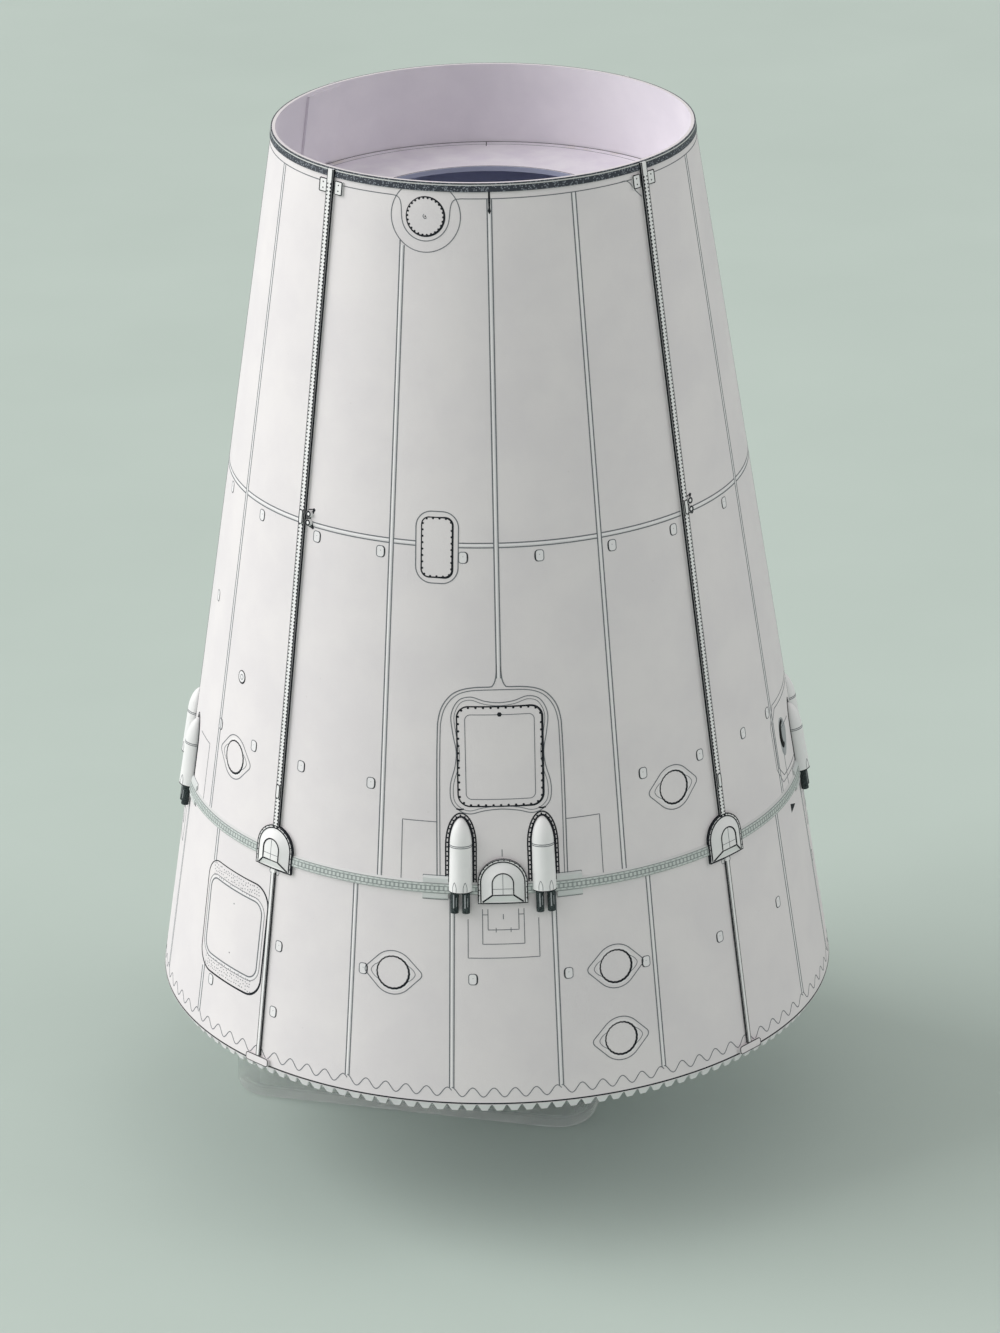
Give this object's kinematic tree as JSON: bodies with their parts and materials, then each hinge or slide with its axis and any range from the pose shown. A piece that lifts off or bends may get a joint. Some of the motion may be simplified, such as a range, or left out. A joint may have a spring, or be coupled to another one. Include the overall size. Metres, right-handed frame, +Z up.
{
  "type": "card model of a conical rocket stage adapter",
  "caption": "White card model of a launch vehicle's conical stage adapter, open at the top, with glued-on thruster fairings and raceways, standing on a clear plastic box.",
  "frame": {"origin": "on the floor, on the cone's axis", "axes": "+Z up along the cone's axis; -Y towards the front, where the door outline is"},
  "size_m": [0.0688, 0.0688, 0.1056],
  "materials": {
    "card": "smooth matt white printed card",
    "grey_print": "card printed in light grey with dotted lines",
    "dark_print": "card printed in stippled dark grey",
    "ink": "matt printed line",
    "clear_plastic": "clear moulded plastic"
  },
  "bodies": {
    "root": {"skin_lower": "card", "skin_upper": "card", "rim_band": "dark_print", "separation_band": "grey_print", "band_covers_front": "grey_print", "dome_front": "card", "thruster_front_a": "card", "nozzles_front_a": "dark_print", "thruster_front_b": "card", "nozzles_front_b": "dark_print", "band_covers_right": "grey_print", "dome_right": "card", "thruster_right_a": "card", "nozzles_right_a": "dark_print", "thruster_right_b": "card", "nozzles_right_b": "dark_print", "band_covers_back": "grey_print", "dome_back": "card", "thruster_back_a": "card", "nozzles_back_a": "dark_print", "thruster_back_b": "card", "nozzles_back_b": "dark_print", "band_covers_left": "grey_print", "dome_left": "card", "thruster_left_a": "card", "nozzles_left_a": "dark_print", "thruster_left_b": "card", "nozzles_left_b": "dark_print", "dome_front_right": "card", "raceway_upper_front_right": "card", "raceway_lower_front_right": "card", "dome_back_right": "card", "raceway_upper_back_right": "card", "raceway_lower_back_right": "card", "dome_back_left": "card", "raceway_upper_back_left": "card", "raceway_lower_back_left": "card", "dome_front_left": "card", "raceway_upper_front_left": "card", "raceway_lower_front_left": "card", "raceway_feet": "card", "raceway_lugs": "card", "raceway_clips": "card", "ring_loops": "card", "shelf_ring": "card", "seam_strip": "card", "tab_ring": "card", "support_disc": "card", "stand_box": "clear_plastic", "stand_lid": "clear_plastic"}
  },
  "joints": []
}
